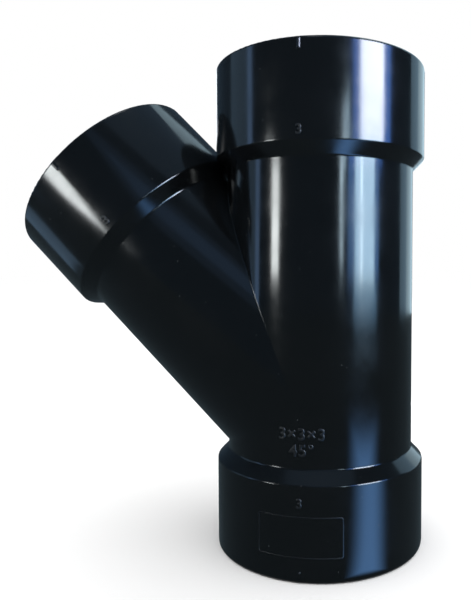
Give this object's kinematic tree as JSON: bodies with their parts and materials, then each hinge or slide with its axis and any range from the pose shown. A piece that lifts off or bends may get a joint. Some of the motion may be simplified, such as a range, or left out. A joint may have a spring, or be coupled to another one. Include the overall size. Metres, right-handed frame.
{
  "type": "lateral wye fitting",
  "caption": "One-piece moulded drain wye: a straight run with a 45 degree branch and a pipe socket on each of its three arms.",
  "frame": {"origin": "centre of the lower socket's mouth, on the run's axis, so the fitting stands on z = 0", "axes": "+Z along the run towards the upper socket; the branch rises towards -X in the XZ plane"},
  "size_m": [0.1955, 0.1002, 0.2238],
  "materials": {
    "black_abs": "glossy moulded"
  },
  "bodies": {
    "root": {"wye_fitting": "black_abs"}
  },
  "joints": []
}
